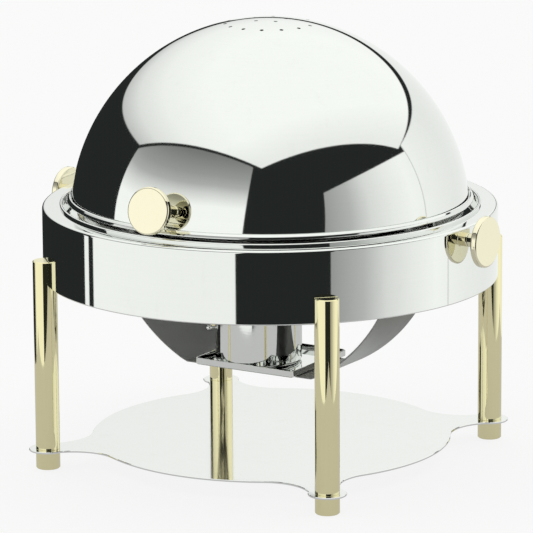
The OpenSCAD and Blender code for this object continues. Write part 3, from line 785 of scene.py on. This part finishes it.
# Burner shelf. A shallow tray pressed from one sheet, its lip all round keeping the fuel holder
# in place, polished like the straps that carry it.
shelf_x = shelf_high[0]
shelf_y = shelf_high[1]
shelf_top = shelf_high[2]
tray_corner = 0.004
tray_bend = 0.0012


def tray_levels():
    """Up the outside round the bottom bend, over the lip's edge, and down the inside to the floor."""
    turn_out = tray_bend * (1 - np.sin(np.linspace(0, math.pi / 2, 6)))
    rise_out = tray_bend * (1 - np.cos(np.linspace(0, math.pi / 2, 6)))
    outside = [(float(i), shelf_bottom + float(r)) for i, r in zip(turn_out, rise_out)]
    lip = [(0.0, shelf_top - 0.0003), (0.0003, shelf_top), (ring_sheet - 0.0003, shelf_top),
           (ring_sheet, shelf_top - 0.0003)]
    inside = [(ring_sheet + float(r), shelf_bottom + ring_sheet + float(h))
              for r, h in ((0.0, 0.0008), (0.00025, 0.00025), (0.0008, 0.0))]
    return outside + lip + inside


tray_corners = [complex(-shelf_x, -shelf_y), complex(shelf_x, -shelf_y), complex(shelf_x, shelf_y),
                complex(-shelf_x, shelf_y)]
tray_outline = rounded(tray_corners, tray_corner, 9)
assembled("shelf_tray", [layered(tray_outline, tray_levels())], mirror_sheet, "stand", "burner_shelf")

# Fuel holder. A deep polished cup with a curled rim for a tin of fuel, a boss behind for the lid's
# pin, and a ball on a stem to draw it out by. The lid swings aside on the pin by its button.
holder_place = (-0.010, -0.008, 0.0)
holder_radius = 0.045
holder_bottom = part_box("fuel_holder")[0][2]
holder_top = holder_bottom + 0.0585
holder_sheet = 0.0012
holder_curl = 0.0014
pin_offset = 0.050
boss_radius = 0.0045
boss_height = 0.012
grip_turn = math.radians(212)
grip_level = holder_bottom + 0.0345
ball_radius = 0.0035
cup_steel = metal("cup_steel", lambda tree: turned_lines(tree, holder_place), steel_colour, steel_worn,
                  0.045, 0.05, 0.05, 0.008)

curl_centre = holder_radius - holder_curl + 1j * holder_top
cup_inside = holder_radius - holder_sheet
cup_foot = rounded([1j * holder_bottom, holder_radius + 1j * holder_bottom, holder_radius + 1j * holder_top],
                   [0.0, 0.004, 0.0], 9)[:-1]
cup_floor = rounded([cup_inside + 1j * holder_top, cup_inside + 1j * (holder_bottom + holder_sheet),
                     1j * (holder_bottom + holder_sheet)], [0.0, 0.0028, 0.0], 9)[1:]
cup_curl = arc(curl_centre, holder_curl, 0, math.pi + 1.0, 17)
cup = turned(np.concatenate([cup_foot, cup_curl, cup_floor]), 160, at=holder_place)
boss_low = holder_top - boss_height
boss_section = np.array([1j * boss_low, boss_radius - 0.0005 + 1j * boss_low, boss_radius + 1j * (boss_low + 0.0005),
                         boss_radius + 1j * (holder_top - 0.0005), boss_radius - 0.0005 + 1j * holder_top,
                         1j * holder_top])
boss = turned(boss_section, 40, at=(holder_place[0], holder_place[1] + pin_offset, 0.0))
web_corners = np.array([-0.002 + 0.0446j, 0.002 + 0.0446j, 0.002 + 0.0480j, -0.002 + 0.0480j])
web = layered(web_corners, [(0.0, boss_low), (0.0, holder_top - 0.0006)], at=holder_place)
assembled("fuel_cup_body", [cup, boss, web], cup_steel, "fuel_holder", "fuel_holder")

grip_out = np.array([math.cos(grip_turn), math.sin(grip_turn), 0.0])
grip_axes = ((-math.sin(grip_turn), math.cos(grip_turn), 0), (0, 0, 1), tuple(grip_out))
ball_place = holder_radius - holder_sheet + 0.0075
neck_lean = math.asin(0.0015 / ball_radius)
ball = arc(1j * ball_place, ball_radius, -math.pi / 2 + neck_lean, math.pi / 2, 25)
grip_section = np.concatenate([[1j * (cup_inside + 0.0002), 0.0015 + 1j * (cup_inside + 0.0002)], ball])
grip_at = (holder_place[0], holder_place[1], grip_level)
assembled("cup_ball", [turned(grip_section, 48, grip_axes, grip_at)], cup_steel, "fuel_holder", "holder_grip")
dress("lid_pin", plain_steel)

lid_radius = 0.043
lid_lug = 0.006
lid_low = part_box("holder_lid")[0][2]
lid_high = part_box("holder_lid")[1][2]
lug_half = math.asin(lid_lug / lid_radius)
lid_outline = np.concatenate([arc(0, lid_radius, math.pi / 2 + lug_half, 2.5 * math.pi - lug_half, 121),
                              arc(1j * pin_offset, lid_lug, 0, math.pi, 17)])
lid = layered(lid_outline, eased(lid_low, lid_high, 0.0003), at=holder_place)
assembled("lid_disc", [lid], cup_steel, "holder_lid", "holder_lid")
button_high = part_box("lid_grip")[1][2]
button_corners = [1j * (lid_low + 0.0002), 0.002 + 1j * (lid_low + 0.0002), 0.002 + 1j * (lid_high + 0.001),
                  0.005 + 1j * (lid_high + 0.001), 0.005 + 1j * button_high, 1j * button_high]
button_section = rounded(button_corners, [0.0, 0.0, 0.0005, 0.0005, 0.0016, 0.0], 7)
button_at = (holder_place[0], holder_place[1] - lid_radius + 0.010, 0.0)
assembled("lid_button", [turned(button_section, 48, at=button_at)], leg_brass, "holder_lid", "lid_grip")

# Pans. Two deep drawn pans of thin sheet, satin inside and out: the water pan hangs in the carrier
# by a wide flange with an upright drip lip, and the food pan hangs in it by a curled rim.
pan_sheet = 0.0012
water_low, water_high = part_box("water_pan")
water_radius = 0.159
water_rim = water_high[0]
water_corner = 0.018
water_seat = carrier_top + 0.0001
food_low, food_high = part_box("food_pan")
food_radius = 0.154
food_sheet = 0.001
food_rim = food_high[0]
food_corner = 0.014
food_curl = 0.0012
food_seat = water_seat + pan_sheet + 0.0001

water_corners = [
    (0.0, water_low[2]), (water_radius, water_low[2]), (water_radius, water_seat), (water_rim, water_seat),
    (water_rim, water_high[2]), (water_rim - pan_sheet, water_high[2]), (water_rim - pan_sheet, water_seat + pan_sheet),
    (water_radius - pan_sheet, water_seat + pan_sheet), (water_radius - pan_sheet, water_low[2] + pan_sheet),
    (0.0, water_low[2] + pan_sheet)]
water_round = [0.0, water_corner, 0.0012, 0.0016, 0.0004, 0.0004, 0.0006, 0.0024, water_corner - pan_sheet, 0.0]
water_section = rounded([r + 1j * z for r, z in water_corners], water_round, 9)
assembled("water_pan_sheet", [turned(water_section, 240)], satin_steel, "stand", "water_pan")

food_inside = food_radius - food_sheet
food_outer = rounded([1j * food_low[2], food_radius + 1j * food_low[2], food_radius + 1j * food_seat,
                      food_rim - food_curl + 1j * food_seat], [0.0, food_corner, 0.0010, 0.0], 9)[:-1]
curl = arc(food_rim - food_curl + 1j * (food_seat + food_curl), food_curl, -math.pi / 2, math.pi, 17)
food_inner = rounded([food_rim - 2 * food_curl + 1j * (food_seat + food_sheet),
                      food_inside + 1j * (food_seat + food_sheet),
                      food_inside + 1j * (food_low[2] + food_sheet), 1j * (food_low[2] + food_sheet)],
                     [0.0, 0.0020, food_corner - food_sheet, 0.0], 9)
assembled("food_pan_sheet", [turned(np.concatenate([food_outer, curl, food_inner]), 240)], satin_steel,
          "food_pan", "food_pan")

# Dome. Spun from 1.2 mm stainless sheet to part of a sphere, pierced near the top with two circles
# of steam holes, and buffed to a mirror. The ears inside it hang it from the pivots.
dome_radius = 0.206
dome_sheet = 0.0012
dome_foot = 0.020
vent_radius = 0.0020
outer_vents = 14
outer_circle = 0.045
outer_first = math.radians(9)
inner_vents = 5
inner_circle = 0.0175
inner_first = math.radians(-36.4)
meridians = 210
cap_edge = 0.006
cell_edge = 0.030
plain_edge = 0.060
dome_steel = metal("dome_steel", turned_lines, steel_colour, steel_worn, 0.028, 0.025, 0.02, 0.012)
step = 2 * math.pi / meridians
outer_start = outer_first - math.pi / outer_vents
inner_start = inner_first - math.pi / inner_vents
inner_start = outer_start + round((inner_start - outer_start) / step) * step


def circles(reaches):
    """Rings of points seen from above, one for each reach, on the dome's meridians."""
    return np.asarray(reaches)[:, None] * np.exp(1j * (outer_start + step * np.arange(meridians)))[None, :]


def vent_cell(start, width, inner, outer, circle, rows):
    """Rings from a cell's border in to one steam hole. The border runs along two of the dome's circles and two of
    its meridians, and each ring is part of the way from the border to the hole, closer together near the hole."""
    turns = start + step * np.arange(width + 1)
    reaches = np.linspace(inner, outer, rows + 1)
    border = np.concatenate([outer * np.exp(1j * turns[:-1]), reaches[:0:-1] * np.exp(1j * turns[-1]),
                             inner * np.exp(1j * turns[:0:-1]), reaches[:-1] * np.exp(1j * turns[0])])
    centre = circle * np.exp(1j * (start + step * width / 2))
    hole = centre + vent_radius * (border - centre) / np.abs(border - centre)
    share = np.linspace(1, 0, 9)[:, None] ** 1.7
    return hole + (border - hole) * share


def raised(plan, radius):
    """Points above the turning axis on a sphere of the given radius, in line with those of the outer sphere."""
    flat = plan.ravel()
    up = np.sqrt(dome_radius ** 2 - np.abs(flat) ** 2)
    return np.stack([flat.real, flat.imag, up], axis=1) * (radius / dome_radius) + np.array(axis_centre)


def both_skins(plan):
    """The outer and the inner skin over rings of plan points that run inwards, and the wall at the last ring."""
    rows, count = plan.shape
    quads = ring_faces(rows, count)
    return [(raised(plan, dome_radius), [quads]), (raised(plan, dome_radius - dome_sheet), [quads[:, ::-1]])]


def wall(ring, downwards):
    """The sheet's cut edge along one ring of plan points."""
    skins = [raised(ring, dome_radius), raised(ring, dome_radius - dome_sheet)]
    return np.concatenate(skins if downwards else skins[::-1]), [ring_faces(2, ring.size)]


foot_reach = math.sqrt(dome_radius ** 2 - dome_foot ** 2)
falls = np.linspace(math.asin(foot_reach / dome_radius), math.asin(plain_edge / dome_radius), 47)
side_rings = circles(dome_radius * np.sin(falls))
cap_rings = circles([cap_edge, 0.004, 0.002, 0.0])
dome_surfaces = both_skins(side_rings) + [wall(side_rings[0], False)] + both_skins(cap_rings)
for count, first, inner, outer, circle, rows in (
        (outer_vents, outer_start, cell_edge, plain_edge, outer_circle, 12),
        (inner_vents, inner_start, cap_edge, cell_edge, inner_circle, 14)):
    width = meridians // count
    for number in range(count):
        cell = vent_cell(first + number * width * step, width, inner, outer, circle, rows)
        dome_surfaces += both_skins(cell) + [wall(cell[-1], True)]


def sphere_normals(mesh):
    """Normals of the true sphere for the faces of the two skins, and each face's own for the sheet's cut edges."""
    points = np.empty(len(mesh.vertices) * 3)
    mesh.vertices.foreach_get("co", points)
    out = points.reshape(-1, 3) - np.array(axis_centre)
    reach = np.linalg.norm(out, axis=1)
    out = out / reach[:, None]
    corners = np.empty(len(mesh.loops), int)
    mesh.loops.foreach_get("vertex_index", corners)
    sizes = np.empty(len(mesh.polygons), int)
    mesh.polygons.foreach_get("loop_total", sizes)
    own = np.empty(len(mesh.polygons) * 3)
    mesh.polygons.foreach_get("normal", own)
    firsts = np.concatenate([[0], np.cumsum(sizes)[:-1]])
    middle = dome_radius - dome_sheet / 2
    outers = np.add.reduceat((reach > middle)[corners].astype(int), firsts)
    side = np.where(outers == sizes, 1, np.where(outers == 0, -1, 0))
    kind = np.repeat(side, sizes)
    normals = np.where(kind[:, None] == 0, np.repeat(own.reshape(-1, 3), sizes, axis=0), out[corners] * kind[:, None])
    return normals


points = np.concatenate([own for own, _ in dome_surfaces])
starts = np.cumsum([0] + [len(own) for own, _ in dome_surfaces])
quads = np.concatenate([group + start for start, (_, groups) in zip(starts, dome_surfaces) for group in groups])
dome = mesh_object("dome_sheet", [merged(points, quads)])
dome.data.shade_smooth()
dome.data.normals_split_custom_set(sphere_normals(dome.data).tolist())
dome.data.materials.append(dome_steel)
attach(dome, "cover")
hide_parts("cover_dome")

# Dome rim. A solid strip rolled to a sloping section and soldered round the dome's lower edge,
# its top standing off from the dome by a fine groove.
rim_low, rim_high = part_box("cover_rim")
rim_foot = rim_low[2]
rim_top = rim_high[2]
rim_outer = rim_high[0]
rim_seat = foot_reach + 0.00005
rim_corners = [
    (rim_seat, rim_foot), (rim_outer, rim_foot), (rim_outer, rim_foot + 0.0008),
    (dome_radius + 0.0028, rim_foot + 0.0026),
    (dome_radius + 0.0012, rim_top - 0.0004), (dome_radius, rim_top), (dome_radius, rim_foot + 0.0008),
    (rim_seat, rim_foot + 0.0008)]
rim_round = [0.0001, 0.0003, 0.0006, 0.003, 0.0012, 0.0002, 0.0001, 0.0001]
rim_section = rounded([r + 1j * z for r, z in rim_corners], rim_round, 7)
assembled("dome_rim", [turned(rim_section, 288)], dome_steel, "cover", "cover_rim")

# Ears. Two strips of sheet inside the dome, one at each pivot, held by welded studs and round
# nuts. Satin, as they came from the roller.
for side in ("left", "right"):
    dress(f"cover_ear_{side}", satin_steel)
dress("ear_studs", plain_steel)
